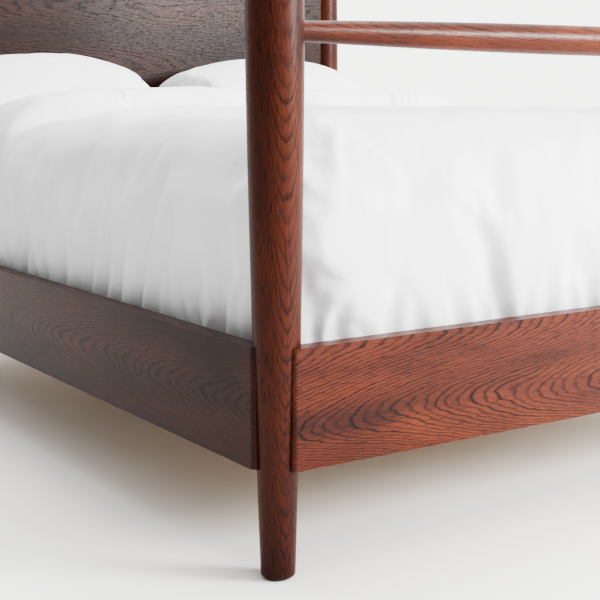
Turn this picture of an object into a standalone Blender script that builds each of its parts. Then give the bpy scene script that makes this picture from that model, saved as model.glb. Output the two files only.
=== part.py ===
"""Four poster canopy bed, queen size, with its slat deck, rail fittings and bedding.

Frame: metres, +Z up, origin on the floor under the middle of the bed, +Y towards the
headboard. Corner dimensions are measured from a post's axis: "inward" runs towards the
middle of the bed, "outward" away from it.
"""

import math

import bmesh
import bpy
from mathutils import Matrix

# Posts: turned, widest a little above mattress height.
POST_SPACING_X = 1.545
POST_SPACING_Y = 2.100
POST_TOP = 2.030
POST_BELLY_HEIGHT = 0.860
POST_FOOT_RADIUS = 0.0290
POST_BELLY_RADIUS = 0.0466
POST_TOP_RADIUS = 0.0270
POST_FOOT_TAPER = 1.4
POST_TOP_TAPER = 1.6
POST_FOOT_ROUNDING = 0.004
POST_TOP_ROUNDING = 0.007
POST_SEGMENTS = 16

# Rails: boards that lap the outer side of the posts, with ends rounded into them.
RAIL_BOTTOM = 0.188
RAIL_HEIGHT = 0.203
RAIL_INNER_OFFSET = 0.0096
RAIL_OUTER_OFFSET = 0.0436
RAIL_END_INWARD = 0.004
RAIL_END_ROUNDING = 0.008
RAIL_EDGE_ROUNDING = 0.002
TENON_INNER_OFFSET = 0.014
TENON_OUTER_OFFSET = 0.026
TENON_LENGTH = 0.015
TENON_SHOULDER = 0.025

# Turned cross rails: slim at the posts and swelling to the middle.
FOOTBOARD_RAIL_HEIGHT = 0.891
FOOTBOARD_RAIL_END_RADIUS = 0.0150
FOOTBOARD_RAIL_MIDDLE_RADIUS = 0.0273
FOOTBOARD_RAIL_END_INWARD = 0.018
CANOPY_RAIL_DROP = 0.046
CANOPY_RAIL_END_RADIUS = 0.0130
CANOPY_RAIL_MIDDLE_RADIUS = 0.0215
CANOPY_SOCKET_INWARD = 0.0190
CANOPY_TENON_INWARD = 0.0095
CANOPY_TENON_RADIUS = 0.0080
CROSS_RAIL_SEGMENTS = 12
CROSS_RAIL_RINGS = 10

# Headboard: one glued panel housed in the head posts.
HEADBOARD_BOTTOM = 0.430
HEADBOARD_TOP = 1.220
HEADBOARD_THICKNESS = 0.035
HEADBOARD_FRONT_INWARD = 0.027
HEADBOARD_END_INWARD = 0.022
HEADBOARD_EDGE_ROUNDING = 0.006

# Slat deck: ledgers on the side rails, a middle beam on two legs, and slats across.
SLAT_COUNT = 14
SLAT_WIDTH = 0.070
SLAT_THICKNESS = 0.019
SLAT_BOTTOM = 0.245
SLAT_LENGTH = 1.556
SLAT_SPAN = 1.910
LEDGER_WIDTH = 0.025
LEDGER_HEIGHT = 0.035
LEDGER_LENGTH = 1.960
BEAM_WIDTH = 0.038
BEAM_HEIGHT = 0.050
HANGER_SHEET = 0.002
HANGER_DEPTH = 0.032
HANGER_FLANGE_WIDTH = 0.072
LEG_WIDTH = 0.044
LEG_BOTTOM = 0.022
LEG_POSITIONS = {"front": -0.350, "rear": 0.450}

# Feet: nailed glides under the posts and screw feet under the middle legs.
GLIDE_RADIUS = 0.024
GLIDE_THICKNESS = 0.003
NAIL_RADIUS = 0.0016
NAIL_TOP = 0.020
FOOT_PAD_RADIUS = 0.019
FOOT_PAD_THICKNESS = 0.008
STUD_RADIUS = 0.004
STUD_TOP = 0.055
INSERT_RADIUS = 0.0062
INSERT_FLANGE_RADIUS = 0.0110
INSERT_FLANGE_THICKNESS = 0.0015
INSERT_TOP = 0.036

# Knock-down fittings between the side rails and the posts.
PLATE_INNER_OFFSET = 0.0116
PLATE_OUTER_OFFSET = 0.0256
PLATE_THICKNESS = 0.0025
PLATE_BOTTOM = 0.2245
PLATE_HEIGHT = 0.130
HOOK_THICKNESS = 0.003
HOOK_HEIGHTS = (0.262, 0.315)
HOOK_RISE = 0.010
HOOK_NECK_DROP = 0.002
HOOK_LIP_DROP = 0.012
HOOK_LIP_THICKNESS = 0.0033
POCKET_DEPTH = 0.005

# Bedding.
MATTRESS_HALF_X = 0.754
MATTRESS_FOOT_Y = -1.034
MATTRESS_HEAD_Y = 0.990
MATTRESS_TOP = 0.620
MATTRESS_CORNER = 0.095
MATTRESS_EDGE = 0.030
DUVET_HALF_X = 0.7655
DUVET_FOOT_Y = -1.056
DUVET_HEAD_Y = 0.545
DUVET_BOTTOM = 0.330
DUVET_SHOULDER = 0.560
DUVET_TOP = 0.765
DUVET_CORNER = 0.120
DUVET_DOME_INSET = 0.340
DUVET_FOLD_RISE = 0.035
DUVET_FOLD_START = 0.120
DUVET_FOLD_LENGTH = 0.180
PILLOW_HALF_X = 0.372
PILLOW_HALF_Y = 0.235
PILLOW_HALF_THICKNESS = 0.124
PILLOW_CORNER = 0.090
PILLOW_SEAM_HALF_THICKNESS = 0.008
PILLOW_CENTRE = (0.388, 0.785, 0.7720)
PILLOW_TILT = math.radians(25.0)

CLEAR = 0.0003
HALF_X = POST_SPACING_X / 2
HALF_Y = POST_SPACING_Y / 2
RAIL_TOP = RAIL_BOTTOM + RAIL_HEIGHT
CANOPY_RAIL_HEIGHT = POST_TOP - CANOPY_RAIL_DROP
CORNERS = {
    "foot_left": (-1, -1),
    "foot_right": (1, -1),
    "head_left": (-1, 1),
    "head_right": (1, 1),
}


def clear_scene():
    for obj in list(bpy.data.objects):
        bpy.data.objects.remove(obj, do_unlink=True)


def make_material(name, colour, roughness, metallic=0.0):
    material = bpy.data.materials.new(name)
    material.use_nodes = True
    shader = material.node_tree.nodes["Principled BSDF"]
    shader.inputs["Base Color"].default_value = (*colour, 1.0)
    shader.inputs["Roughness"].default_value = roughness
    shader.inputs["Metallic"].default_value = metallic
    return material


def make_object(name, bm, material, matrix=None):
    """Turns a bmesh into a smooth-shaded object facing out, placed by matrix."""
    if bm.calc_volume(signed=True) < 0.0:
        bmesh.ops.reverse_faces(bm, faces=bm.faces[:])
    mesh = bpy.data.meshes.new(name)
    bm.to_mesh(mesh)
    bm.free()
    mesh.shade_smooth()
    mesh.set_sharp_from_angle(angle=math.radians(35.0))
    obj = bpy.data.objects.new(name, mesh)
    if material is not None:
        mesh.materials.append(material)
    if matrix is not None:
        obj.matrix_world = matrix
    bpy.context.scene.collection.objects.link(obj)
    return obj


def make_tool(name, bm, matrix=None):
    """A hidden helper for a Boolean, left out of the finished model."""
    tool = make_object(name, bm, None, matrix)
    tool.display_type = "WIRE"
    tool.hide_render = True
    return tool


def combine(target, tool, operation="DIFFERENCE"):
    modifier = target.modifiers.new(tool.name, "BOOLEAN")
    modifier.operation = operation
    modifier.solver = "EXACT"
    modifier.object = tool


def add_box(bm, low, high):
    centre = [(a + b) / 2 for a, b in zip(low, high)]
    size = [b - a for a, b in zip(low, high)]
    place = Matrix.Translation(centre) @ Matrix.Diagonal((*size, 1.0))
    bmesh.ops.create_cube(bm, size=1.0, matrix=place)


def box_mesh(*boxes):
    bm = bmesh.new()
    for low, high in boxes:
        add_box(bm, low, high)
    return bm


def stacked_mesh(rings):
    """Joins rings of equal count, given as lists of 3-D points, and caps both ends."""
    bm = bmesh.new()
    levels = [[bm.verts.new(point) for point in ring] for ring in rings]
    count = len(levels[0])
    for lower, upper in zip(levels, levels[1:]):
        for i in range(count):
            j = (i + 1) % count
            bm.faces.new((lower[i], lower[j], upper[j], upper[i]))
    bm.faces.new(list(reversed(levels[0])))
    bm.faces.new(levels[-1])
    return bm


def extruded_mesh(outline, bottom, top):
    """A plan outline raised from bottom to top."""
    return stacked_mesh([[(x, y, height) for x, y in outline] for height in (bottom, top)])


def turned_mesh(profile, segments):
    """Spins (radius, height) points about Z. The profile starts and ends on the axis."""
    bm = bmesh.new()
    verts = [bm.verts.new((radius, 0.0, height)) for radius, height in profile]
    edges = [bm.edges.new(pair) for pair in zip(verts, verts[1:])]
    bmesh.ops.spin(
        bm, geom=verts + edges, axis=(0, 0, 1), cent=(0, 0, 0), steps=segments, angle=math.tau
    )
    bmesh.ops.remove_doubles(bm, verts=bm.verts[:], dist=1e-6)
    return bm


def mirrored(bm, matrix):
    bm.transform(matrix)
    return bm


def heading(direction):
    """Turns a rail built along X, with its outer face at +Y, to face out of the bed."""
    turns = {"head": 0, "left": 1, "foot": 2, "right": 3}
    return Matrix.Rotation(turns[direction] * math.pi / 2, 4, "Z")


def side_distance(direction):
    return HALF_Y if direction in ("head", "foot") else HALF_X


def half_span(direction):
    """Half the distance between the two post axes that a rail on this side joins."""
    return HALF_X if direction in ("head", "foot") else HALF_Y


def arc(centre, radius, start, end, steps):
    angles = [math.radians(start + (end - start) * i / steps) for i in range(steps + 1)]
    return [(centre[0] + radius * math.cos(a), centre[1] + radius * math.sin(a)) for a in angles]


# ---------------------------------------------------------------- posts


def post_radius(height):
    if height <= POST_BELLY_HEIGHT:
        share = 1.0 - (1.0 - height / POST_BELLY_HEIGHT) ** POST_FOOT_TAPER
        return POST_FOOT_RADIUS + (POST_BELLY_RADIUS - POST_FOOT_RADIUS) * share
    climb = (height - POST_BELLY_HEIGHT) / (POST_TOP - POST_BELLY_HEIGHT)
    return POST_BELLY_RADIUS - (POST_BELLY_RADIUS - POST_TOP_RADIUS) * climb**POST_TOP_TAPER


def post_profile():
    base = GLIDE_THICKNESS + CLEAR
    lower = [base + POST_FOOT_ROUNDING + 0.14 * i for i in range(6)]
    upper = [POST_BELLY_HEIGHT + 0.19 * i for i in range(6)]
    shaft = [(post_radius(z), z) for z in lower + upper]
    foot_centre = (post_radius(base) - POST_FOOT_ROUNDING, base + POST_FOOT_ROUNDING)
    foot = arc(foot_centre, POST_FOOT_ROUNDING, -90, -30, 2)
    top_centre = (POST_TOP_RADIUS - POST_TOP_ROUNDING, POST_TOP - POST_TOP_ROUNDING)
    crown = arc(top_centre, POST_TOP_ROUNDING, 0, 90, 3)
    return [(0.0, base)] + foot + shaft + crown + [(0.0, POST_TOP)]


def build_posts(wood, pockets):
    mesh_source = None
    for corner, (side_x, side_y) in CORNERS.items():
        place = Matrix.Translation((side_x * HALF_X, side_y * HALF_Y, 0.0))
        if mesh_source is None:
            post = make_object(f"post_{corner}", turned_mesh(post_profile(), POST_SEGMENTS), wood, place)
            mesh_source = post.data
        else:
            post = bpy.data.objects.new(f"post_{corner}", mesh_source)
            post.matrix_world = place
            bpy.context.scene.collection.objects.link(post)
        for tool in pockets[corner]:
            combine(post, tool)


def build_glides(plastic):
    """A nailed disc under each post, and the nail holes that the posts need."""
    profile = [
        (0.0, 0.0),
        (GLIDE_RADIUS - 0.0015, 0.0),
        (GLIDE_RADIUS, 0.0015),
        (GLIDE_RADIUS, GLIDE_THICKNESS),
        (NAIL_RADIUS, GLIDE_THICKNESS),
        (NAIL_RADIUS, NAIL_TOP - NAIL_RADIUS),
        (0.0, NAIL_TOP),
    ]
    hole_profile = [
        (0.0, 0.0),
        (NAIL_RADIUS + CLEAR, 0.0),
        (NAIL_RADIUS + CLEAR, NAIL_TOP + CLEAR),
        (0.0, NAIL_TOP + CLEAR),
    ]
    holes = {}
    for corner, (side_x, side_y) in CORNERS.items():
        place = Matrix.Translation((side_x * HALF_X, side_y * HALF_Y, 0.0))
        make_object(f"glide_{corner}", turned_mesh(profile, 12), plastic, place)
        holes[corner] = make_tool(f"nail_hole_{corner}", turned_mesh(hole_profile, 12), place)
    return holes


# ---------------------------------------------------------------- rails


def rail_outline(half, inner, outer, rounding):
    right = arc((half - rounding, outer - rounding), rounding, 0, 90, 6)
    left = arc((rounding - half, outer - rounding), rounding, 90, 180, 6)
    return [(-half, inner), (half, inner)] + right + left


def rail_mesh(direction):
    half = half_span(direction) - RAIL_END_INWARD
    outline = rail_outline(half, RAIL_INNER_OFFSET, RAIL_OUTER_OFFSET, RAIL_END_ROUNDING)
    bm = extruded_mesh(outline, RAIL_BOTTOM, RAIL_TOP)
    level = [edge for edge in bm.edges if abs(edge.verts[0].co.z - edge.verts[1].co.z) < 1e-6]
    bmesh.ops.bevel(bm, geom=level, offset=RAIL_EDGE_ROUNDING, segments=2, affect="EDGES", profile=0.5)
    return bm


def rail_pocket_mesh(direction):
    half = half_span(direction) - RAIL_END_INWARD + CLEAR
    outline = rail_outline(
        half, RAIL_INNER_OFFSET - CLEAR, RAIL_OUTER_OFFSET + CLEAR, RAIL_END_ROUNDING + CLEAR
    )
    return extruded_mesh(outline, RAIL_BOTTOM - CLEAR, RAIL_TOP + CLEAR)


def tenon_mesh(direction, gap):
    reach = half_span(direction) - RAIL_END_INWARD + TENON_LENGTH + gap
    low = (-reach, TENON_INNER_OFFSET - gap, RAIL_BOTTOM + TENON_SHOULDER - gap)
    high = (reach, TENON_OUTER_OFFSET + gap, RAIL_TOP - TENON_SHOULDER + gap)
    return box_mesh((low, high))


def rail_place(direction):
    return heading(direction) @ Matrix.Translation((0.0, side_distance(direction), 0.0))


def build_glued_rail(direction, wood):
    """A rail with a stub tenon at each end, and the tools that house it in the posts."""
    place = rail_place(direction)
    rail = make_object(f"{direction}_rail", rail_mesh(direction), wood, place)
    combine(rail, make_tool(f"{direction}_tenons", tenon_mesh(direction, 0.0), place), "UNION")
    pocket = make_tool(f"{direction}_rail_pocket", rail_pocket_mesh(direction), place)
    mortises = make_tool(f"{direction}_mortises", tenon_mesh(direction, CLEAR), place)
    return [pocket, mortises]


def plate_recess_mesh(direction):
    """Recesses in both rail ends, open at the end grain, that hold the hook plates."""
    end = half_span(direction) - RAIL_END_INWARD
    floor = end - PLATE_THICKNESS - 2 * CLEAR
    boxes = []
    for sign in (-1, 1):
        ends = sorted((sign * floor, sign * (end + 0.01)))
        low = (ends[0], PLATE_INNER_OFFSET - CLEAR, PLATE_BOTTOM - CLEAR)
        high = (ends[1], PLATE_OUTER_OFFSET + CLEAR, PLATE_BOTTOM + PLATE_HEIGHT + CLEAR)
        boxes.append((low, high))
    return box_mesh(*boxes)


def slot_plate_recess_mesh(direction):
    reach = half_span(direction) - RAIL_END_INWARD + CLEAR + PLATE_THICKNESS + 2 * CLEAR
    low = (-reach, PLATE_INNER_OFFSET - CLEAR, PLATE_BOTTOM - CLEAR)
    high = (reach, PLATE_OUTER_OFFSET + CLEAR, PLATE_BOTTOM + PLATE_HEIGHT + CLEAR)
    return box_mesh((low, high))


def hook_pocket_mesh(direction):
    middle = (PLATE_INNER_OFFSET + PLATE_OUTER_OFFSET) / 2
    reach = half_span(direction) + POCKET_DEPTH
    low = (-reach, middle - HOOK_THICKNESS, HOOK_HEIGHTS[0] - 0.016)
    high = (reach, middle + HOOK_THICKNESS, HOOK_HEIGHTS[-1] + 0.026)
    return box_mesh((low, high))


def build_side_rail(direction, wood):
    """A rail that hooks on to its posts, and the tools that house it in them."""
    place = rail_place(direction)
    rail = make_object(f"side_rail_{direction}", rail_mesh(direction), wood, place)
    combine(rail, make_tool(f"{direction}_plate_recesses", plate_recess_mesh(direction), place))
    return [
        make_tool(f"{direction}_rail_pocket", rail_pocket_mesh(direction), place),
        make_tool(f"{direction}_slot_plate_recess", slot_plate_recess_mesh(direction), place),
        make_tool(f"{direction}_hook_pocket", hook_pocket_mesh(direction), place),
    ]


def build_rail_fittings(steel):
    """Hook plates in the side rail ends and slotted plates in the posts behind them."""
    middle = (PLATE_INNER_OFFSET + PLATE_OUTER_OFFSET) / 2
    end = HALF_Y - RAIL_END_INWARD
    hook_face = end - CLEAR
    slot_face = end + 2 * CLEAR
    lip_start = slot_face + PLATE_THICKNESS + CLEAR
    plate_top = PLATE_BOTTOM + PLATE_HEIGHT
    for corner, (side_x, side_y) in CORNERS.items():
        mirror = Matrix.Diagonal((side_x, side_y, 1.0, 1.0))
        offset = HALF_X + middle
        plate_low = HALF_X + PLATE_INNER_OFFSET
        plate_high = HALF_X + PLATE_OUTER_OFFSET

        bm = box_mesh(
            ((plate_low, hook_face - PLATE_THICKNESS, PLATE_BOTTOM), (plate_high, hook_face, plate_top))
        )
        hook_plate = make_object(f"hook_plate_{corner}", mirrored(bm, mirror), steel)
        for number, height in enumerate(HOOK_HEIGHTS, start=1):
            near = offset - HOOK_THICKNESS / 2
            far = offset + HOOK_THICKNESS / 2
            lip_end = lip_start + HOOK_LIP_THICKNESS
            outline = [
                (hook_face - PLATE_THICKNESS / 2, height - HOOK_NECK_DROP),
                (lip_start, height - HOOK_NECK_DROP),
                (lip_start, height - HOOK_LIP_DROP),
                (lip_end, height - HOOK_LIP_DROP),
                (lip_end, height + HOOK_RISE),
                (hook_face - PLATE_THICKNESS / 2, height + HOOK_RISE),
            ]
            hook = extruded_mesh(outline, near, far)
            hook.transform(Matrix(((0, 0, 1, 0), (1, 0, 0, 0), (0, 1, 0, 0), (0, 0, 0, 1))))
            combine(hook_plate, make_tool(f"hook_{number}_{corner}", mirrored(hook, mirror)), "UNION")

        bm = box_mesh(
            ((plate_low, slot_face, PLATE_BOTTOM), (plate_high, slot_face + PLATE_THICKNESS, plate_top))
        )
        slot_plate = make_object(f"slot_plate_{corner}", mirrored(bm, mirror), steel)
        slots = []
        for height in HOOK_HEIGHTS:
            low = (offset - HOOK_THICKNESS, slot_face - 0.01, height - HOOK_NECK_DROP - CLEAR)
            high = (
                offset + HOOK_THICKNESS,
                slot_face + 0.01,
                height + 2 * HOOK_RISE + HOOK_NECK_DROP,
            )
            slots.append((low, high))
        combine(slot_plate, make_tool(f"slots_{corner}", mirrored(box_mesh(*slots), mirror)))


# ---------------------------------------------------------------- turned cross rails


def cross_rail_radius(position, half, end_radius, middle_radius):
    """position runs from -half to half between the two post axes."""
    reach = 1.0 - abs(position) / half
    return end_radius + (middle_radius - end_radius) * (1.0 - (1.0 - reach) ** 2)


def lay_along(direction, height):
    """Lays a piece turned about Z along the side of the bed that direction names."""
    across = Matrix.Translation((0.0, side_distance(direction), height))
    return heading(direction) @ across @ Matrix.Rotation(math.pi / 2, 4, "Y")


def build_footboard_rail(wood):
    """The round rail over the foot of the bed. Its ends stand in bored holes."""
    radii = (FOOTBOARD_RAIL_END_RADIUS, FOOTBOARD_RAIL_MIDDLE_RADIUS)
    reach = HALF_X - FOOTBOARD_RAIL_END_INWARD
    stations = [-reach + 2 * reach * i / CROSS_RAIL_RINGS for i in range(CROSS_RAIL_RINGS + 1)]
    profile = [(cross_rail_radius(s, HALF_X, *radii), s) for s in stations]
    profile = [(0.0, -reach)] + profile + [(0.0, reach)]
    place = lay_along("foot", FOOTBOARD_RAIL_HEIGHT)
    make_object("footboard_top_rail", turned_mesh(profile, CROSS_RAIL_SEGMENTS), wood, place)

    mouth = HALF_X - post_radius(FOOTBOARD_RAIL_HEIGHT)
    bore = cross_rail_radius(mouth, HALF_X, *radii) + CLEAR
    depth = reach + CLEAR
    bore_profile = [(0.0, -depth), (bore, -depth), (bore, depth), (0.0, depth)]
    return make_tool("footboard_rail_bore", turned_mesh(bore_profile, CROSS_RAIL_SEGMENTS), place)


def build_canopy_rail(direction, wood):
    """A tapering rail with a slimmer round tenon at each end."""
    half = half_span(direction)
    radii = (CANOPY_RAIL_END_RADIUS, CANOPY_RAIL_MIDDLE_RADIUS)
    shoulder = half - CANOPY_SOCKET_INWARD
    tip = half - CANOPY_TENON_INWARD
    stations = [-shoulder + 2 * shoulder * i / CROSS_RAIL_RINGS for i in range(CROSS_RAIL_RINGS + 1)]
    body = [(cross_rail_radius(s, half, *radii), s) for s in stations]
    profile = [(0.0, -tip), (CANOPY_TENON_RADIUS, -tip), (CANOPY_TENON_RADIUS, -shoulder)]
    profile += body
    profile += [(CANOPY_TENON_RADIUS, shoulder), (CANOPY_TENON_RADIUS, tip), (0.0, tip)]
    place = lay_along(direction, CANOPY_RAIL_HEIGHT)
    make_object(f"canopy_rail_{direction}", turned_mesh(profile, CROSS_RAIL_SEGMENTS), wood, place)

    mouth = half - post_radius(CANOPY_RAIL_HEIGHT)
    bore = cross_rail_radius(mouth, half, *radii) + CLEAR
    slim = CANOPY_TENON_RADIUS + CLEAR
    step = shoulder + CLEAR
    depth = tip + CLEAR
    bore_profile = [(0.0, -depth), (slim, -depth), (slim, -step), (bore, -step)]
    bore_profile += [(radius, -height) for radius, height in reversed(bore_profile)]
    name = f"canopy_bore_{direction}"
    return make_tool(name, turned_mesh(bore_profile, CROSS_RAIL_SEGMENTS), place)


# ---------------------------------------------------------------- headboard


def headboard_mesh(gap):
    half = HALF_X - HEADBOARD_END_INWARD + gap
    front = HALF_Y - HEADBOARD_FRONT_INWARD - gap
    back = HALF_Y - HEADBOARD_FRONT_INWARD + HEADBOARD_THICKNESS + gap
    return box_mesh(((-half, front, HEADBOARD_BOTTOM - gap), (half, back, HEADBOARD_TOP + gap)))


def build_headboard(wood):
    bm = headboard_mesh(0.0)
    long_edges = [edge for edge in bm.edges if abs(edge.verts[0].co.x - edge.verts[1].co.x) > 0.1]
    bmesh.ops.bevel(
        bm, geom=long_edges, offset=HEADBOARD_EDGE_ROUNDING, segments=4, affect="EDGES", profile=0.5
    )
    make_object("headboard_panel", bm, wood)
    return make_tool("headboard_housing", headboard_mesh(CLEAR))


# ---------------------------------------------------------------- slat deck


def eased_box(low, high, rounding):
    bm = box_mesh((low, high))
    bmesh.ops.bevel(bm, geom=bm.edges[:], offset=rounding, segments=1, affect="EDGES", profile=0.5)
    return bm


def build_ledgers(pine):
    rail_face = HALF_X + RAIL_INNER_OFFSET - CLEAR
    top = SLAT_BOTTOM - CLEAR
    for name, side in (("ledger_left", -1), ("ledger_right", 1)):
        across = sorted((side * rail_face, side * (rail_face - LEDGER_WIDTH)))
        low = (across[0], -LEDGER_LENGTH / 2, top - LEDGER_HEIGHT)
        high = (across[1], LEDGER_LENGTH / 2, top)
        make_object(name, eased_box(low, high, 0.0015), pine)


def build_slats(pine):
    for number in range(SLAT_COUNT):
        centre = -SLAT_SPAN / 2 + SLAT_SPAN * number / (SLAT_COUNT - 1)
        low = (-SLAT_LENGTH / 2, centre - SLAT_WIDTH / 2, SLAT_BOTTOM)
        high = (SLAT_LENGTH / 2, centre + SLAT_WIDTH / 2, SLAT_BOTTOM + SLAT_THICKNESS)
        make_object(f"slat_{number + 1:02d}", eased_box(low, high, 0.002), pine)


def build_beam(pine, steel):
    """The middle beam, and the sheet steel stirrups that hang it on the end rails."""
    rail_face = HALF_Y + RAIL_INNER_OFFSET - CLEAR
    top = SLAT_BOTTOM - CLEAR
    bottom = top - BEAM_HEIGHT
    reach = rail_face - HANGER_SHEET - CLEAR
    low = (-BEAM_WIDTH / 2, -reach, bottom)
    high = (BEAM_WIDTH / 2, reach, top)
    make_object("centre_beam", eased_box(low, high, 0.0015), pine)

    inside = BEAM_WIDTH / 2 + CLEAR
    outside = inside + HANGER_SHEET
    seat = bottom - CLEAR
    for name, side in (("beam_hanger_foot", -1), ("beam_hanger_head", 1)):
        mirror = Matrix.Diagonal((1.0, side, 1.0, 1.0))
        shell = box_mesh(
            ((-outside, rail_face - HANGER_DEPTH, seat - HANGER_SHEET), (outside, rail_face, top))
        )
        hanger = make_object(name, mirrored(shell, mirror), steel)
        room = box_mesh(
            (
                (-inside, rail_face - HANGER_DEPTH - 0.01, seat),
                (inside, rail_face - HANGER_SHEET, top + 0.01),
            )
        )
        combine(hanger, make_tool(f"{name}_room", mirrored(room, mirror)))
        flange = box_mesh(
            (
                (-HANGER_FLANGE_WIDTH / 2, rail_face - HANGER_SHEET, seat - HANGER_SHEET),
                (HANGER_FLANGE_WIDTH / 2, rail_face, top),
            )
        )
        combine(hanger, make_tool(f"{name}_flange", mirrored(flange, mirror)), "UNION")


def build_legs(pine, steel, plastic):
    """Two legs under the beam, each on a screw foot that turns in a flanged insert."""
    leg_top = SLAT_BOTTOM - BEAM_HEIGHT - 2 * CLEAR
    flange_bottom = LEG_BOTTOM - CLEAR - INSERT_FLANGE_THICKNESS
    thread = STUD_RADIUS + CLEAR
    insert_outline = [
        (thread, flange_bottom),
        (INSERT_FLANGE_RADIUS, flange_bottom),
        (INSERT_FLANGE_RADIUS, LEG_BOTTOM - CLEAR),
        (INSERT_RADIUS, LEG_BOTTOM - CLEAR),
        (INSERT_RADIUS, INSERT_TOP),
        (thread, INSERT_TOP),
        (thread, flange_bottom),
    ]
    bore_outline = [
        (0.0, LEG_BOTTOM - 0.01),
        (INSERT_RADIUS + CLEAR, LEG_BOTTOM - 0.01),
        (INSERT_RADIUS + CLEAR, INSERT_TOP + CLEAR),
        (thread, INSERT_TOP + CLEAR),
        (thread, STUD_TOP + 0.015),
        (0.0, STUD_TOP + 0.015),
    ]
    foot_outline = [
        (0.0, 0.0),
        (FOOT_PAD_RADIUS - 0.002, 0.0),
        (FOOT_PAD_RADIUS, 0.002),
        (FOOT_PAD_RADIUS - 0.003, FOOT_PAD_THICKNESS),
        (STUD_RADIUS, FOOT_PAD_THICKNESS),
        (STUD_RADIUS, STUD_TOP - 0.001),
        (STUD_RADIUS - 0.001, STUD_TOP),
        (0.0, STUD_TOP),
    ]
    half = LEG_WIDTH / 2
    for name, along in LEG_POSITIONS.items():
        place = Matrix.Translation((0.0, along, 0.0))
        leg_mesh = eased_box((-half, -half, LEG_BOTTOM), (half, half, leg_top), 0.002)
        leg = make_object(f"centre_leg_{name}", leg_mesh, pine, place)
        combine(leg, make_tool(f"leg_bore_{name}", turned_mesh(bore_outline, 12), place))
        make_object(f"threaded_insert_{name}", turned_mesh(insert_outline, 12), steel, place)
        make_object(f"levelling_foot_{name}", turned_mesh(foot_outline, 12), plastic, place)


# ---------------------------------------------------------------- bedding


def rounded_plan(low_y, high_y, half_x, foot_corner, head_corner, inset, steps=5):
    """A plan outline with its own corner radius at each end, drawn in by inset."""
    x = half_x - inset
    foot = max(foot_corner - 0.5 * inset, 0.02)
    head = max(head_corner - 0.5 * inset, 0.02)
    low = low_y + inset
    high = high_y - inset
    return (
        arc((x - foot, low + foot), foot, -90, 0, steps)
        + arc((x - head, high - head), head, 0, 90, steps)
        + arc((head - x, high - head), head, 90, 180, steps)
        + arc((foot - x, low + foot), foot, 180, 270, steps)
    )


def mattress_rings(gap, bottom):
    """The mattress, or the room it takes when gap is more than nothing."""
    plan = (MATTRESS_FOOT_Y - gap, MATTRESS_HEAD_Y + gap, MATTRESS_HALF_X + gap)
    corners = (MATTRESS_CORNER + gap, MATTRESS_CORNER + gap)
    top = MATTRESS_TOP + gap
    levels = [(MATTRESS_EDGE, bottom), (0.0, bottom + MATTRESS_EDGE)]
    levels += [(0.0, top - MATTRESS_EDGE), (0.3 * MATTRESS_EDGE, top - 0.3 * MATTRESS_EDGE)]
    levels += [(MATTRESS_EDGE, top)]
    return [[(x, y, z) for x, y in rounded_plan(*plan, *corners, inset)] for inset, z in levels]


def build_mattress(ticking):
    bottom = SLAT_BOTTOM + SLAT_THICKNESS + CLEAR
    make_object("mattress", stacked_mesh(mattress_rings(0.0, bottom)), ticking)


def duvet_height(inset, y):
    """Height of the duvet's top skin, crowned, and thicker where it is folded back."""
    share = min(inset / DUVET_DOME_INSET, 1.0)
    dome = DUVET_SHOULDER + (DUVET_TOP - DUVET_SHOULDER) * (1.0 - (1.0 - share) ** 3) ** 0.5
    along = min(max((y - DUVET_FOLD_START) / DUVET_FOLD_LENGTH, 0.0), 1.0)
    fold = DUVET_FOLD_RISE * along * along * (3.0 - 2.0 * along)
    return dome + fold * min(share * 4.0, 1.0)


def build_duvet(cotton):
    """The duvet is a cap over the mattress, open underneath and at the pillow end."""
    plan = (DUVET_FOOT_Y, DUVET_HEAD_Y, DUVET_HALF_X, DUVET_CORNER, 0.040)
    rings = [[(x, y, DUVET_BOTTOM) for x, y in rounded_plan(*plan, 0.0, steps=6)]]
    for inset in (0.0, 0.004, 0.015, 0.035, 0.070, 0.130, 0.220, 0.340):
        outline = rounded_plan(*plan, inset, steps=6)
        rings.append([(x, y, duvet_height(inset, y)) for x, y in outline])
    duvet = make_object("duvet", stacked_mesh(rings), cotton)
    room = stacked_mesh(mattress_rings(0.0005, DUVET_BOTTOM - 0.100))
    combine(duvet, make_tool("duvet_room", room))


def build_pillows(cotton):
    insets = (0.0, 0.012, 0.035, 0.070, 0.120, 0.180, 0.220)
    plan = (-PILLOW_HALF_Y, PILLOW_HALF_Y, PILLOW_HALF_X, PILLOW_CORNER, PILLOW_CORNER)
    upper = []
    for inset in insets:
        share = inset / insets[-1]
        bulge = (1.0 - (1.0 - share) ** 2.2) ** 0.62
        rise = PILLOW_HALF_THICKNESS - PILLOW_SEAM_HALF_THICKNESS
        upper.append((inset, PILLOW_SEAM_HALF_THICKNESS + rise * bulge))
    levels = [(inset, -z) for inset, z in reversed(upper)] + upper
    for name, side in (("pillow_left", -1), ("pillow_right", 1)):
        rings = [[(x, y, z) for x, y in rounded_plan(*plan, inset)] for inset, z in levels]
        centre = (side * PILLOW_CENTRE[0], PILLOW_CENTRE[1], PILLOW_CENTRE[2])
        place = Matrix.Translation(centre) @ Matrix.Rotation(PILLOW_TILT, 4, "X")
        make_object(name, stacked_mesh(rings), cotton, place)


# ---------------------------------------------------------------- assembly


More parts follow.
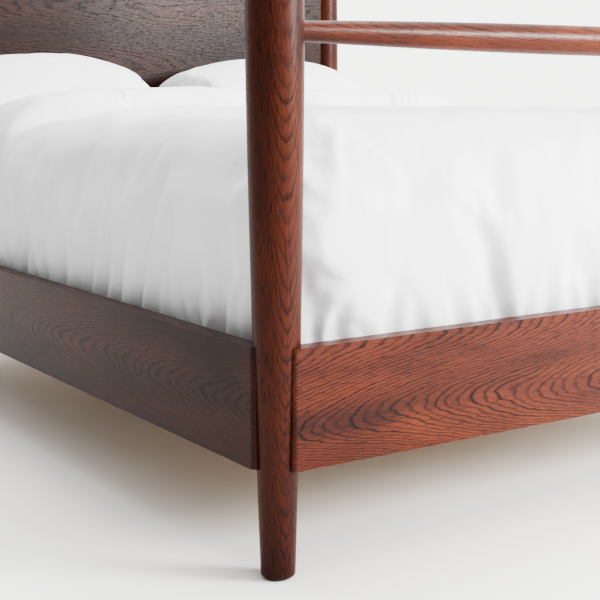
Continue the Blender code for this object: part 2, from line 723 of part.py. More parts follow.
def build_bed():
    wood = make_material("stained_oak", (0.085, 0.026, 0.016), 0.38)
    pine = make_material("pine", (0.55, 0.38, 0.22), 0.60)
    steel = make_material("zinc_plated_steel", (0.55, 0.56, 0.58), 0.35, 1.0)
    plastic = make_material("black_plastic", (0.03, 0.03, 0.03), 0.50)
    ticking = make_material("mattress_ticking", (0.80, 0.79, 0.76), 0.85)
    cotton = make_material("white_cotton", (0.86, 0.86, 0.87), 0.80)

    foot_tools = build_glued_rail("foot", wood)
    head_tools = build_glued_rail("head", wood)
    side_tools = {side: build_side_rail(side, wood) for side in ("left", "right")}
    canopy_tools = {side: build_canopy_rail(side, wood) for side in ("foot", "head", "left", "right")}
    end_tools = {
        "foot": foot_tools + [build_footboard_rail(wood), canopy_tools["foot"]],
        "head": head_tools + [build_headboard(wood), canopy_tools["head"]],
    }
    nail_holes = build_glides(plastic)
    pockets = {}
    for corner in CORNERS:
        end, side = corner.split("_")
        pockets[corner] = end_tools[end] + side_tools[side] + [canopy_tools[side], nail_holes[corner]]
    build_posts(wood, pockets)
    build_rail_fittings(steel)
    build_ledgers(pine)
    build_beam(pine, steel)
    build_legs(pine, steel, plastic)
    build_slats(pine)
    build_mattress(ticking)
    build_duvet(cotton)
    build_pillows(cotton)


clear_scene()
build_bed()
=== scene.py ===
"""Looks of the four poster canopy bed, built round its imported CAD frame.

Frame: metres, +Z up, origin on the floor under the middle of the bed, +Y towards the
headboard. The wood, metal and plastic that CAD shapes well stays and gets its finish here.
The turned wood and the bedding are made again in finer meshes.
"""

import math
import random

import bmesh
import bpy
from mathutils import Matrix, Vector, noise


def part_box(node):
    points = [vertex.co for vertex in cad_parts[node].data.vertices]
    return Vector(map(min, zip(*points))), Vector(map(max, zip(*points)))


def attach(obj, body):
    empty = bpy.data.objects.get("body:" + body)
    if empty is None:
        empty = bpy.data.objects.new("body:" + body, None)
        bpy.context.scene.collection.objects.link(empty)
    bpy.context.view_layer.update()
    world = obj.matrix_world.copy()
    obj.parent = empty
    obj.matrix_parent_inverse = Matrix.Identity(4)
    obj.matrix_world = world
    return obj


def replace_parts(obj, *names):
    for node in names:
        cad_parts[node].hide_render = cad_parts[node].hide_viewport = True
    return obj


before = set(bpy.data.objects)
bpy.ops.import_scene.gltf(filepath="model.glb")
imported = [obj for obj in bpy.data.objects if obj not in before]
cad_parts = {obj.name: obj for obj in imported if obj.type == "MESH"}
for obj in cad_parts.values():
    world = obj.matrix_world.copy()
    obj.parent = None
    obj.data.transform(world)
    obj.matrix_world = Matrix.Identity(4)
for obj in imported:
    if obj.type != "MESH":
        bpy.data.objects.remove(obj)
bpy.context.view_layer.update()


# ---------------------------------------------------------------- camera and studio


CAMERA_PLACE = (-1.8253, -2.7114, 0.7782)
CAMERA_YAW = math.radians(33.47)
CAMERA_PITCH = math.radians(9.024)
CAMERA_ROLL = math.radians(-0.198)
CAMERA_LENS = 74.25
FLOOR_REACH = 60.0
FLOOR_DROP = 0.0004


def build_camera():
    """Looks to the right of +Y by the yaw and down by the pitch."""
    yaw, pitch, roll = CAMERA_YAW, CAMERA_PITCH, CAMERA_ROLL
    level_part = math.cos(pitch)
    ahead = Vector((math.sin(yaw) * level_part, math.cos(yaw) * level_part, -math.sin(pitch)))
    level = Vector((math.cos(yaw), -math.sin(yaw), 0.0))
    above = level.cross(ahead)
    right = math.cos(roll) * level + math.sin(roll) * above
    up = math.cos(roll) * above - math.sin(roll) * level
    data = bpy.data.cameras.new("camera")
    data.sensor_width = 36.0
    data.lens = CAMERA_LENS
    camera = bpy.data.objects.new("camera", data)
    turn = Matrix((right, up, -ahead)).transposed().to_4x4()
    camera.matrix_world = Matrix.Translation(CAMERA_PLACE) @ turn
    bpy.context.scene.collection.objects.link(camera)
    bpy.context.scene.camera = camera


def area_light(name, place, target, size, power):
    data = bpy.data.lights.new(name, "AREA")
    data.shape = "RECTANGLE"
    data.size, data.size_y = size
    data.energy = power
    light = bpy.data.objects.new(name, data)
    light.location = place
    light.rotation_euler = (Vector(target) - Vector(place)).to_track_quat("-Z", "Y").to_euler()
    bpy.context.scene.collection.objects.link(light)


def build_studio():
    """A world that is brighter towards +X, three soft lights and a floor."""
    scene = bpy.context.scene
    scene.view_settings.view_transform = "AgX"
    scene.view_settings.look = "AgX - High Contrast"
    world = bpy.data.worlds.new("studio")
    scene.world = world
    world.use_nodes = True
    graph = Graph(world.node_tree)
    toward = graph.add("ShaderNodeTexCoord").outputs["Generated"]
    side = graph.add("ShaderNodeSeparateXYZ", {"Vector": toward}).outputs["X"]
    level = graph.smooth(side, -0.80, 0.30, 0.40, 2.1)
    background = world.node_tree.nodes["Background"]
    graph.feed(background.inputs["Strength"], level)
    graph.feed(background.inputs["Color"], rgb(1.0, 0.985, 0.965))
    area_light("key", (3.4, -4.9, 2.5), (0.0, -1.0, 0.45), (1.8, 1.6), 560.0)
    area_light("overhead", (0.3, -0.2, 4.2), (0.0, -0.1, 0.5), (2.6, 2.6), 105.0)
    area_light("left_fill", (-4.0, -0.6, 1.4), (-0.7, -0.2, 0.5), (2.0, 1.6), 3.0)

    # The floor lies just under the glides, so that the two don't share a plane.
    signs = ((-1, -1), (1, -1), (1, 1), (-1, 1))
    corners = [(x * FLOOR_REACH, y * FLOOR_REACH, -FLOOR_DROP) for x, y in signs]
    floor = mesh_object("studio_floor", corners, [(0, 1, 2, 3)])
    floor.data.materials.append(floor_material())


# ---------------------------------------------------------------- shader graphs


class Graph:
    """Adds nodes to a shader tree. An input's value is a number, a tuple or another node's socket."""

    def __init__(self, tree):
        self.tree = tree

    def add(self, kind, inputs=None, **settings):
        made = self.tree.nodes.new(kind)
        for key, value in settings.items():
            setattr(made, key, value)
        for key, value in (inputs or {}).items():
            self.feed(made.inputs[key], value)
        return made

    def feed(self, socket, value):
        if isinstance(value, bpy.types.NodeSocket):
            self.tree.links.new(value, socket)
        else:
            socket.default_value = value

    def math(self, operation, *values, clamp=False):
        inputs = dict(enumerate(values))
        return self.add("ShaderNodeMath", inputs, operation=operation, use_clamp=clamp).outputs[0]

    def sum(self, *values):
        total = values[0]
        for value in values[1:]:
            total = self.math("ADD", total, value)
        return total

    def point(self, x, y, z):
        return self.add("ShaderNodeCombineXYZ", {"X": x, "Y": y, "Z": z}).outputs[0]

    def scaled(self, vector, factors, shift=(0.0, 0.0, 0.0)):
        inputs = {0: vector, 1: factors, 2: shift}
        return self.add("ShaderNodeVectorMath", inputs, operation="MULTIPLY_ADD").outputs[0]

    def noise(self, vector, detail=2.0, roughness=0.5):
        inputs = {"Vector": vector, "Scale": 1.0, "Detail": detail, "Roughness": roughness}
        return self.add("ShaderNodeTexNoise", inputs).outputs["Fac"]

    def smooth(self, value, low, high, out_low=0.0, out_high=1.0):
        names = ("Value", "From Min", "From Max", "To Min", "To Max")
        inputs = dict(zip(names, (value, low, high, out_low, out_high)))
        return self.add("ShaderNodeMapRange", inputs, interpolation_type="SMOOTHSTEP").outputs[0]

    def mix(self, share, first, second, blend="MIX"):
        made = self.add("ShaderNodeMix", data_type="RGBA", blend_type=blend)
        for index, value in ((0, share), (6, first), (7, second)):
            self.feed(made.inputs[index], value)
        return made.outputs[2]

    def bump(self, height, distance, strength=1.0, normal=None):
        inputs = {"Height": height, "Distance": distance, "Strength": strength}
        if normal is not None:
            inputs["Normal"] = normal
        return self.add("ShaderNodeBump", inputs).outputs[0]


def new_material(name):
    material = bpy.data.materials.new(name)
    material.use_nodes = True
    shader = material.node_tree.nodes["Principled BSDF"]
    return material, Graph(material.node_tree), shader


def rgb(red, green, blue):
    return (red, green, blue, 1.0)


# ---------------------------------------------------------------- wood

OAK_LIGHT = rgb(0.118, 0.0265, 0.0125)
OAK_WARM = rgb(0.138, 0.0325, 0.0125)
OAK_DEEP = rgb(0.052, 0.0125, 0.0080)
OAK_GRAIN = rgb(0.0075, 0.0028, 0.0030)
OAK_INPUTS = ("Along", "Across", "Depth", "Rings", "Darkening", "Figure")
BOARD_FIGURE = 0.90
TURNED_FIGURE = 0.62
POST_DARKENING = 0.67


def oak_group():
    """Stained oak: dark early wood rings, open pores, fibres and slow changes of tone."""
    tree = bpy.data.node_groups.new("stained_oak_grain", "ShaderNodeTree")
    for name in OAK_INPUTS:
        tree.interface.new_socket(name, in_out="INPUT", socket_type="NodeSocketFloat")
    tree.interface.new_socket("Colour", in_out="OUTPUT", socket_type="NodeSocketColor")
    tree.interface.new_socket("Roughness", in_out="OUTPUT", socket_type="NodeSocketFloat")
    tree.interface.new_socket("Height", in_out="OUTPUT", socket_type="NodeSocketFloat")
    graph = Graph(tree)
    given = graph.add("NodeGroupInput").outputs
    place = graph.point(given["Along"], given["Across"], given["Depth"])

    waver = graph.noise(graph.scaled(place, (16.0, 110.0, 110.0)), detail=3.0)
    rings = graph.math("MULTIPLY_ADD", waver, 0.85, given["Rings"])
    part = graph.math("FRACT", rings)
    year = graph.math("FLOOR", rings)
    mood = graph.add("ShaderNodeTexWhiteNoise", {"W": year}, noise_dimensions="1D").outputs["Value"]
    opens, closes = graph.smooth(part, 0.0, 0.10), graph.smooth(part, 0.16, 0.52, 1.0, 0.0)
    early = graph.math("MULTIPLY", opens, closes)
    early = graph.math("MULTIPLY", early, graph.math("MULTIPLY_ADD", mood, 0.55, 0.45))

    fibre = graph.noise(graph.scaled(place, (20.0, 520.0, 520.0)), detail=3.0, roughness=0.6)
    pore = graph.smooth(graph.noise(graph.scaled(place, (95.0, 1500.0, 1500.0)), detail=1.0), 0.56, 0.68)
    pore = graph.math("MULTIPLY", pore, graph.math("MULTIPLY_ADD", early, 0.8, 0.25))
    dash = graph.smooth(graph.noise(graph.scaled(place, (40.0, 310.0, 310.0)), detail=2.0), 0.50, 0.70)
    tone = graph.smooth(graph.noise(graph.scaled(place, (2.2, 12.0, 12.0)), detail=2.0), 0.34, 0.68)
    aside = graph.scaled(place, (3.1, 8.0, 8.0), (7.0, 3.0, 5.0))
    glow = graph.smooth(graph.noise(aside, detail=1.0), 0.50, 0.72)

    colour = graph.mix(tone, OAK_LIGHT, OAK_DEEP)
    colour = graph.mix(glow, colour, OAK_WARM)
    shade = graph.math("MULTIPLY_ADD", fibre, 0.9, 0.55)
    colour = graph.mix(1.0, colour, graph.point(shade, shade, shade), "MULTIPLY")
    colour = graph.mix(graph.math("MULTIPLY", early, given["Figure"]), colour, OAK_GRAIN)
    colour = graph.mix(graph.math("MULTIPLY", pore, 0.7), colour, OAK_GRAIN)
    colour = graph.mix(graph.math("MULTIPLY", dash, 0.50), colour, OAK_GRAIN)

    # The colour is multiplied by a darkening factor per piece. On the left side rail that factor is painted
    # shade: a darker copy of the right rail's oak.
    darkening = given["Darkening"]
    colour = graph.mix(1.0, colour, graph.point(darkening, darkening, darkening), "MULTIPLY")

    rough = graph.sum(graph.math("MULTIPLY", pore, 0.20), graph.math("MULTIPLY_ADD", fibre, 0.16, 0.27))
    hollows = graph.math("MULTIPLY_ADD", early, 0.25, pore)
    height = graph.math("SUBTRACT", graph.math("MULTIPLY", fibre, 0.25), hollows)
    result = graph.add("NodeGroupOutput")
    for name, value in (("Colour", colour), ("Roughness", rough), ("Height", height)):
        graph.feed(result.inputs[name], value)


def wood_axes(graph, order, shift):
    """Coordinates along the grain, across the board and through it, from a string such as XZY."""
    local = graph.add("ShaderNodeTexCoord").outputs["Object"]
    parts = graph.add("ShaderNodeSeparateXYZ", {"Vector": local}).outputs
    return [graph.math("ADD", parts[axis], offset) for axis, offset in zip(order, shift)]


def finish_oak(graph, shader, axes, rings, darkening, figure):
    group = graph.add("ShaderNodeGroup", node_tree=bpy.data.node_groups["stained_oak_grain"])
    for socket, value in zip(OAK_INPUTS, (*axes, rings, darkening, figure)):
        graph.feed(group.inputs[socket], value)
    graph.feed(shader.inputs["Base Color"], group.outputs["Colour"])
    graph.feed(shader.inputs["Roughness"], group.outputs["Roughness"])
    graph.feed(shader.inputs["Normal"], graph.bump(group.outputs["Height"], 0.00035, 0.8))
    shader.inputs["Specular IOR Level"].default_value = 0.20
    shader.inputs["Coat Weight"].default_value = 0.04
    shader.inputs["Coat Roughness"].default_value = 0.24


def slow_bend(graph, axes, long_wave, long_size, short_wave, short_size):
    """How far the rings stray from their ideal figure, in rings."""
    place = graph.point(*axes)
    closer = 3.5
    long_scale = (long_wave, long_wave * closer, long_wave * closer)
    short_scale = (short_wave, short_wave * closer, short_wave * closer)
    slow = graph.noise(graph.scaled(place, long_scale), detail=1.0)
    quick = graph.noise(graph.scaled(place, short_scale), detail=2.0)
    slow = graph.math("MULTIPLY", slow, long_size)
    return graph.math("MULTIPLY_ADD", quick, short_size, slow)


def board_oak(name, order, crest, period, lines, drift, shift, darkening=1.0):
    """A flat sawn board: arched figure at its crests and straight grain between them.

    crest is where the arches run, in the across coordinate; period the distance between
    two crests of one kind; lines the rings from the middle to a crest; drift the arches
    in each metre along the grain.
    """
    material, graph, shader = new_material(name)
    axes = wood_axes(graph, order, shift)
    angle = graph.math("MULTIPLY", graph.math("SUBTRACT", axes[1], crest + shift[1]), math.tau / period)
    wave = graph.math("MULTIPLY", graph.math("COSINE", angle), lines)
    run = graph.math("MULTIPLY_ADD", axes[0], drift, graph.math("MULTIPLY", axes[2], 90.0))
    rings = graph.sum(wave, run, slow_bend(graph, axes, 1.3, 9.0, 5.5, 2.8))
    finish_oak(graph, shader, axes, rings, darkening, BOARD_FIGURE)
    return material


def turned_oak(name, order, pith, ring, drift, shift, darkening=1.0):
    """A turned piece: rings about a pith that lies beside it, and arches where it faces out.

    pith is the pith's place in the two coordinates across the grain, ring the width of a
    ring in metres, and drift the arches in each metre along the grain.
    """
    material, graph, shader = new_material(name)
    axes = wood_axes(graph, order, shift)
    from_pith = graph.point(
        graph.math("SUBTRACT", axes[1], pith[0] + shift[1]),
        graph.math("SUBTRACT", axes[2], pith[1] + shift[2]),
        0.0,
    )
    radius = graph.add("ShaderNodeVectorMath", {0: from_pith}, operation="LENGTH").outputs["Value"]
    rings = graph.math("MULTIPLY_ADD", axes[0], drift, graph.math("DIVIDE", radius, ring))
    rings = graph.sum(rings, slow_bend(graph, axes, 1.2, 9.0, 4.0, 3.2))
    finish_oak(graph, shader, axes, rings, darkening, TURNED_FIGURE)
    return material


def pine_material():
    material, graph, shader = new_material("planed_pine")
    local = graph.add("ShaderNodeTexCoord").outputs["Object"]
    slow = graph.noise(graph.scaled(local, (3.0, 3.0, 3.0)), detail=1.0)
    bands = graph.math("FRACT", graph.math("MULTIPLY", slow, 14.0))
    fibre = graph.noise(graph.scaled(local, (60.0, 240.0, 240.0)), detail=3.0)
    late = graph.smooth(bands, 0.45, 0.95)
    colour = graph.mix(late, rgb(0.66, 0.45, 0.25), rgb(0.46, 0.26, 0.11))
    colour = graph.mix(graph.smooth(fibre, 0.3, 0.75, 0.0, 0.35), colour, rgb(0.36, 0.20, 0.09))
    graph.feed(shader.inputs["Base Color"], colour)
    graph.feed(shader.inputs["Roughness"], graph.smooth(fibre, 0.2, 0.8, 0.5, 0.68))
    graph.feed(shader.inputs["Normal"], graph.bump(fibre, 0.0003, 0.6))
    return material


# ---------------------------------------------------------------- metal, plastic, cloth, floor


def steel_material():
    material, graph, shader = new_material("zinc_plate")
    local = graph.add("ShaderNodeTexCoord").outputs["Object"]
    spangle = graph.noise(graph.scaled(local, (140.0, 140.0, 140.0)), detail=2.0)
    scratch = graph.noise(graph.scaled(local, (60.0, 900.0, 900.0)), detail=2.0)
    colour = graph.mix(graph.smooth(spangle, 0.35, 0.7), rgb(0.60, 0.61, 0.60), rgb(0.42, 0.43, 0.44))
    graph.feed(shader.inputs["Base Color"], colour)
    graph.feed(shader.inputs["Roughness"], graph.smooth(scratch, 0.2, 0.8, 0.26, 0.48))
    graph.feed(shader.inputs["Normal"], graph.bump(scratch, 0.0001, 0.5))
    shader.inputs["Metallic"].default_value = 1.0
    return material


def plastic_material():
    material, graph, shader = new_material("moulded_plastic")
    local = graph.add("ShaderNodeTexCoord").outputs["Object"]
    spark = graph.noise(graph.scaled(local, (1600.0, 1600.0, 1600.0)), detail=1.0)
    wear = graph.noise(graph.scaled(local, (90.0, 90.0, 90.0)), detail=3.0)
    colour = graph.mix(graph.smooth(wear, 0.4, 0.75), rgb(0.018, 0.018, 0.019), rgb(0.050, 0.049, 0.048))
    graph.feed(shader.inputs["Base Color"], colour)
    graph.feed(shader.inputs["Roughness"], graph.smooth(wear, 0.3, 0.7, 0.38, 0.60))
    graph.feed(shader.inputs["Normal"], graph.bump(spark, 0.0002, 0.5))
    return material


def weave_height(graph, place, pitch):
    """Crossing threads: the product of a wave along each axis, so every face of the cloth has them."""
    step = math.tau / pitch
    parts = graph.add("ShaderNodeSeparateXYZ", {"Vector": place}).outputs
    waves = [graph.math("SINE", graph.math("MULTIPLY", parts[axis], step)) for axis in "XYZ"]
    return graph.math("MULTIPLY", graph.math("MULTIPLY", waves[0], waves[1]), waves[2])


def linen_material(name, light, shade, crumple):
    material, graph, shader = new_material(name)
    local = graph.add("ShaderNodeTexCoord").outputs["Object"]
    soft = graph.noise(graph.scaled(local, (9.0, 9.0, 9.0)), detail=3.0)
    slub = graph.noise(graph.scaled(local, (700.0, 700.0, 90.0)), detail=2.0)
    crease = graph.noise(graph.scaled(local, (28.0, 28.0, 18.0)), detail=4.0, roughness=0.55)
    colour = graph.mix(graph.smooth(soft, 0.25, 0.75), light, shade)
    colour = graph.mix(graph.smooth(slub, 0.35, 0.8, 0.0, 0.10), colour, rgb(0.60, 0.60, 0.60))
    graph.feed(shader.inputs["Base Color"], colour)
    graph.feed(shader.inputs["Roughness"], graph.smooth(slub, 0.2, 0.8, 0.72, 0.90))
    weave = graph.bump(weave_height(graph, local, 0.0011), 0.00012, 0.35)
    folds = graph.bump(crease, crumple, 0.5, weave)
    graph.feed(shader.inputs["Normal"], folds)
    shader.inputs["Sheen Weight"].default_value = 0.25
    shader.inputs["Sheen Roughness"].default_value = 0.45
    shader.inputs["Specular IOR Level"].default_value = 0.25
    return material


def ticking_material():
    material, graph, shader = new_material("mattress_ticking_cloth")
    local = graph.add("ShaderNodeTexCoord").outputs["Object"]
    parts = graph.add("ShaderNodeSeparateXYZ", {"Vector": local}).outputs
    stripe = graph.math("FRACT", graph.math("MULTIPLY", parts["X"], 1.0 / 0.024))
    starts, ends = graph.smooth(stripe, 0.10, 0.14), graph.smooth(stripe, 0.26, 0.30, 1.0, 0.0)
    line = graph.math("MULTIPLY", graph.math("MULTIPLY", starts, ends), 0.75)
    thread = graph.noise(graph.scaled(local, (500.0, 500.0, 500.0)), detail=2.0)
    colour = graph.mix(line, rgb(0.74, 0.72, 0.68), rgb(0.33, 0.36, 0.42))
    colour = graph.mix(graph.smooth(thread, 0.3, 0.8, 0.0, 0.2), colour, rgb(0.55, 0.53, 0.50))
    graph.feed(shader.inputs["Base Color"], colour)
    graph.feed(shader.inputs["Normal"], graph.bump(weave_height(graph, local, 0.0014), 0.0002, 0.5))
    shader.inputs["Roughness"].default_value = 0.85
    shader.inputs["Sheen Weight"].default_value = 0.2
    return material


def floor_material():
    material, graph, shader = new_material("studio_floor")
    local = graph.add("ShaderNodeTexCoord").outputs["Object"]
    cloud = graph.noise(graph.scaled(local, (1.5, 1.5, 1.5)), detail=3.0)
    colour = graph.mix(graph.smooth(cloud, 0.3, 0.7), rgb(0.84, 0.84, 0.83), rgb(0.81, 0.81, 0.805))
    graph.feed(shader.inputs["Base Color"], colour)
    shader.inputs["Roughness"].default_value = 0.75
    return material


# ---------------------------------------------------------------- mesh helpers


def mesh_object(name, points, faces, smooth=False):
    data = bpy.data.meshes.new(name)
    data.from_pydata([tuple(p) for p in points], [], faces)
    data.validate()
    data.polygons.foreach_set("use_smooth", [smooth] * len(data.polygons))
    made = bpy.data.objects.new(name, data)
    bpy.context.scene.collection.objects.link(made)
    return made


def weld(obj):
    """Joins the points that lie in one place."""
    mesh = bmesh.new()
    mesh.from_mesh(obj.data)
    bmesh.ops.remove_doubles(mesh, verts=mesh.verts, dist=1e-6)
    mesh.to_mesh(obj.data)
    mesh.free()


def subdivide(obj):
    smooth = obj.modifiers.new("smooth", "SUBSURF")
    smooth.levels = smooth.render_levels = 1


def piece(obj, body, material):
    """Gives a piece its material and its body."""
    obj.data.materials.clear()
    obj.data.materials.append(material)
    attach(obj, body)
    return obj


def lathe(name, profile, segments, matrix):
    """Turns a profile of (radius, height) pairs that starts and ends on the axis."""
    points = [Vector((0.0, 0.0, profile[0][1]))]
    for radius, height in profile[1:-1]:
        for step in range(segments):
            angle = math.tau * step / segments
            points.append(Vector((radius * math.cos(angle), radius * math.sin(angle), height)))
    points.append(Vector((0.0, 0.0, profile[-1][1])))
    last = len(points) - 1
    rings = len(profile) - 2
    faces = []
    for step in range(segments):
        after = (step + 1) % segments
        faces.append((0, 1 + after, 1 + step))
        for ring in range(rings - 1):
            low, high = 1 + ring * segments, 1 + (ring + 1) * segments
            faces.append((low + step, low + after, high + after, high + step))
        top = 1 + (rings - 1) * segments
        faces.append((top + step, top + after, last))
    made = mesh_object(name, [matrix @ p for p in points], faces, smooth=True)
    made.data.set_sharp_from_angle(angle=math.radians(40))
    return made


def arc(centre, radius, start, end, steps):
    """Points of a circular arc between two angles in degrees."""
    angles = [math.radians(start + (end - start) * i / steps) for i in range(steps + 1)]
    return [(centre[0] + radius * math.cos(a), centre[1] + radius * math.sin(a)) for a in angles]


def ease(value, low, high):
    """0 at low, 1 at high and smooth between them. high may be the smaller one."""
    share = min(max((value - low) / (high - low), 0.0), 1.0)
    return share * share * (3.0 - 2.0 * share)


# ---------------------------------------------------------------- turned wood

POST_X = 0.7725
POST_Y = 1.0500
POST_SEGMENTS = 96
POST_BELLY_HEIGHT = 0.860
POST_FOOT_RADIUS = 0.0290
POST_BELLY_RADIUS = 0.0466
POST_TOP_RADIUS = 0.0270
POST_FOOT_ROUNDING = 0.004
POST_TOP_ROUNDING = 0.007
RAIL_SEGMENTS = 64
POST_RING = 0.0021
RAIL_RING = 0.0030
RAIL_DRIFT = 20.0
RAIL_TENON = 0.020


def post_radius(height, top):
    """Slim at the floor, widest at the belly, slim again at the top."""
    if height <= POST_BELLY_HEIGHT:
        share = 1.0 - (1.0 - height / POST_BELLY_HEIGHT) ** 1.4
        return POST_FOOT_RADIUS + (POST_BELLY_RADIUS - POST_FOOT_RADIUS) * share
    climb = (height - POST_BELLY_HEIGHT) / (top - POST_BELLY_HEIGHT)
    return POST_BELLY_RADIUS - (POST_BELLY_RADIUS - POST_TOP_RADIUS) * climb**1.6


def build_posts():
    """Each post has the place of its pith beside its axis, its drift and its shift in the figure."""
    figures = {
        "foot_left": ((0.023, 0.148), 24.0, (0.0, 0.0, 0.0)),
        "foot_right": ((-0.090, 0.110), 22.0, (3.1, 0.4, 0.2)),
        "head_left": ((0.120, 0.060), 18.0, (5.7, 0.9, 0.6)),
        "head_right": ((-0.100, 0.100), 24.0, (8.3, 0.2, 1.1)),
    }
    for corner, (pith, drift, shift) in figures.items():
        node = f"post_{corner}"
        low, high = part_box(node)
        x, y = (low.x + high.x) / 2, (low.y + high.y) / 2
        base, top = low.z, high.z
        foot_centre = (post_radius(base, top) - POST_FOOT_ROUNDING, base + POST_FOOT_ROUNDING)
        foot = arc(foot_centre, POST_FOOT_ROUNDING, -90, 0, 6)
        crown_centre = (POST_TOP_RADIUS - POST_TOP_ROUNDING, top - POST_TOP_ROUNDING)
        crown = arc(crown_centre, POST_TOP_ROUNDING, 0, 90, 8)
        start, end = base + 1.6 * POST_FOOT_ROUNDING, top - POST_TOP_ROUNDING - 0.004
        shaft = [start + (end - start) * i / 80 for i in range(81)]
        sides = [(post_radius(z, top), z) for z in shaft]
        profile = [(0.0, base)] + foot + sides + crown + [(0.0, top)]
        post = lathe(f"{node}_turned", profile, POST_SEGMENTS, Matrix.Translation((x, y, 0.0)))
        place = (x + pith[0], y + pith[1])
        oak = turned_oak(f"oak_{node}", "ZXY", place, POST_RING, drift, shift, POST_DARKENING)
        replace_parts(piece(post, "bed_frame", oak), node)


def build_cross_rails():
    """Round rails, slim at the posts and swelling to the middle. Each ends inside two posts."""
    rails = {
        "footboard_top_rail": ("X", 0.0150, 0.0273, POST_X),
        "canopy_rail_foot": ("X", 0.0130, 0.0215, POST_X),
        "canopy_rail_head": ("X", 0.0130, 0.0215, POST_X),
        "canopy_rail_left": ("Y", 0.0130, 0.0215, POST_Y),
        "canopy_rail_right": ("Y", 0.0130, 0.0215, POST_Y),
    }
    for count, (node, (axis, end_radius, middle_radius, half)) in enumerate(rails.items()):
        low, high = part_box(node)
        centre = (low + high) / 2
        reach = half - RAIL_TENON
        stations = [-reach + 2 * reach * i / 90 for i in range(91)]
        profile = [(0.0, -reach)]
        for s in stations:
            share = 1.0 - (abs(s) / half) ** 2
            profile.append((end_radius + (middle_radius - end_radius) * share, s))
        profile.append((0.0, reach))
        if axis == "X":
            turn = Matrix.Rotation(math.pi / 2, 4, "Y")
            order, across = "XYZ", centre.y
        else:
            turn = Matrix.Rotation(-math.pi / 2, 4, "X")
            order, across = "YXZ", centre.x
        rail = lathe(f"{node}_turned", profile, RAIL_SEGMENTS, Matrix.Translation(centre) @ turn)
        pith = (across + 0.055, centre.z - 0.070)
        shift = (1.7 * count, 0.0, 0.0)
        oak = turned_oak(f"oak_{node}", order, pith, RAIL_RING, RAIL_DRIFT, shift)
        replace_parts(piece(rail, "bed_frame", oak), node)


# ---------------------------------------------------------------- boards and small parts


def finish_cad_nodes():
    """Materials for the CAD pieces that stay."""
    # order, crest, period, lines, drift, shift and darkening of each board
    boards = {
        "foot_rail": ("XZY", 0.389, 0.262, 8.0, -34.0, (0.0, 0.0, 0.0), 1.0),
        # Painted shade: the left side rail gets a darkening of 0.45 against 1.0 for the right rail, because
        # that side faces away from the key light.
        "side_rail_left": ("YZX", 0.292, 0.300, 9.0, -24.0, (2.0, 0.0, 0.0), 0.45),
        "side_rail_right": ("YZX", 0.330, 0.280, 8.0, 26.0, (6.0, 0.0, 0.0), 1.0),
        "head_rail": ("XZY", 0.250, 0.270, 8.0, 30.0, (9.0, 0.0, 0.0), 1.0),
        "headboard_panel": ("XZY", 0.900, 0.360, 9.0, -10.0, (4.0, 0.0, 0.0), 0.25),
    }
    oak = {name: board_oak(f"oak_{name}", *row) for name, row in boards.items()}
    pine = pine_material()
    steel = steel_material()
    plastic = plastic_material()
    replaced = ("duvet", "mattress", "pillow", "post", "footboard", "canopy")
    for name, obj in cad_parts.items():
        if name.startswith(replaced):
            continue
        if name in oak:
            material = oak[name]
        elif name.startswith(("slat", "ledger", "centre")):
            material = pine
        elif name.startswith(("glide", "levelling")):
            material = plastic
        else:
            material = steel
        obj.data.materials.clear()
        obj.data.materials.append(material)


# ---------------------------------------------------------------- skins of the bedding


def plan_outline(low_y, high_y, half_x, foot_corner, head_corner, inset, counts):
    """A plan outline with rounded corners, drawn in by inset, as (point, outward) pairs.

    It starts where the foot edge meets the right foot corner and runs anticlockwise.
    counts holds the steps across the bed, along it and round a corner.
    """
    x = half_x - inset
    foot = max(foot_corner - 0.5 * inset, 0.02)
    head = max(head_corner - 0.5 * inset, 0.02)
    low, high = low_y + inset, high_y - inset
    across, along, turn = counts
    corners = (
        ((x - foot, low + foot), foot, -90),
        ((x - head, high - head), head, 0),
        ((head - x, high - head), head, 90),
        ((foot - x, low + foot), foot, 180),
    )

    def on_corner(corner, turned):
        (x, y), radius, start = corner
        angle = math.radians(start + turned)
        outward = (math.cos(angle), math.sin(angle))
        return (x + radius * outward[0], y + radius * outward[1]), outward

    found = []
    for index, corner in enumerate(corners):
        found += [on_corner(corner, 90.0 * step / turn) for step in range(turn + 1)]
        here, outward = found[-1]
        there, _ = on_corner(corners[(index + 1) % 4], 0.0)
        steps = along if index % 2 == 0 else across
        for step in range(1, steps):
            share = step / steps
            place = tuple(here[k] + (there[k] - here[k]) * share for k in (0, 1))
            found.append((place, outward))
    return found


def ring_mesh(name, rings, counts, top, close_bottom=False):
    """Joins rings of equally many points into a skin. A grid fills the last ring, at the heights of top."""
    count = len(rings[0])
    points = [p for ring in rings for p in ring]
    faces = []
    for ring in range(len(rings) - 1):
        low, high = ring * count, (ring + 1) * count
        for i in range(count):
            after = (i + 1) % count
            faces.append((low + i, low + after, high + after, high + i))
    faces += fill_grid(points, (len(rings) - 1) * count, counts, top)
    if close_bottom:
        low = len(points)
        points += rings[0]
        bottom = rings[0][0][2]
        patch = fill_grid(points, low, counts, lambda x, y: bottom)
        faces += [tuple(reversed(face)) for face in patch]
    made = mesh_object(name, points, faces, smooth=True)
    weld(made)
    return made


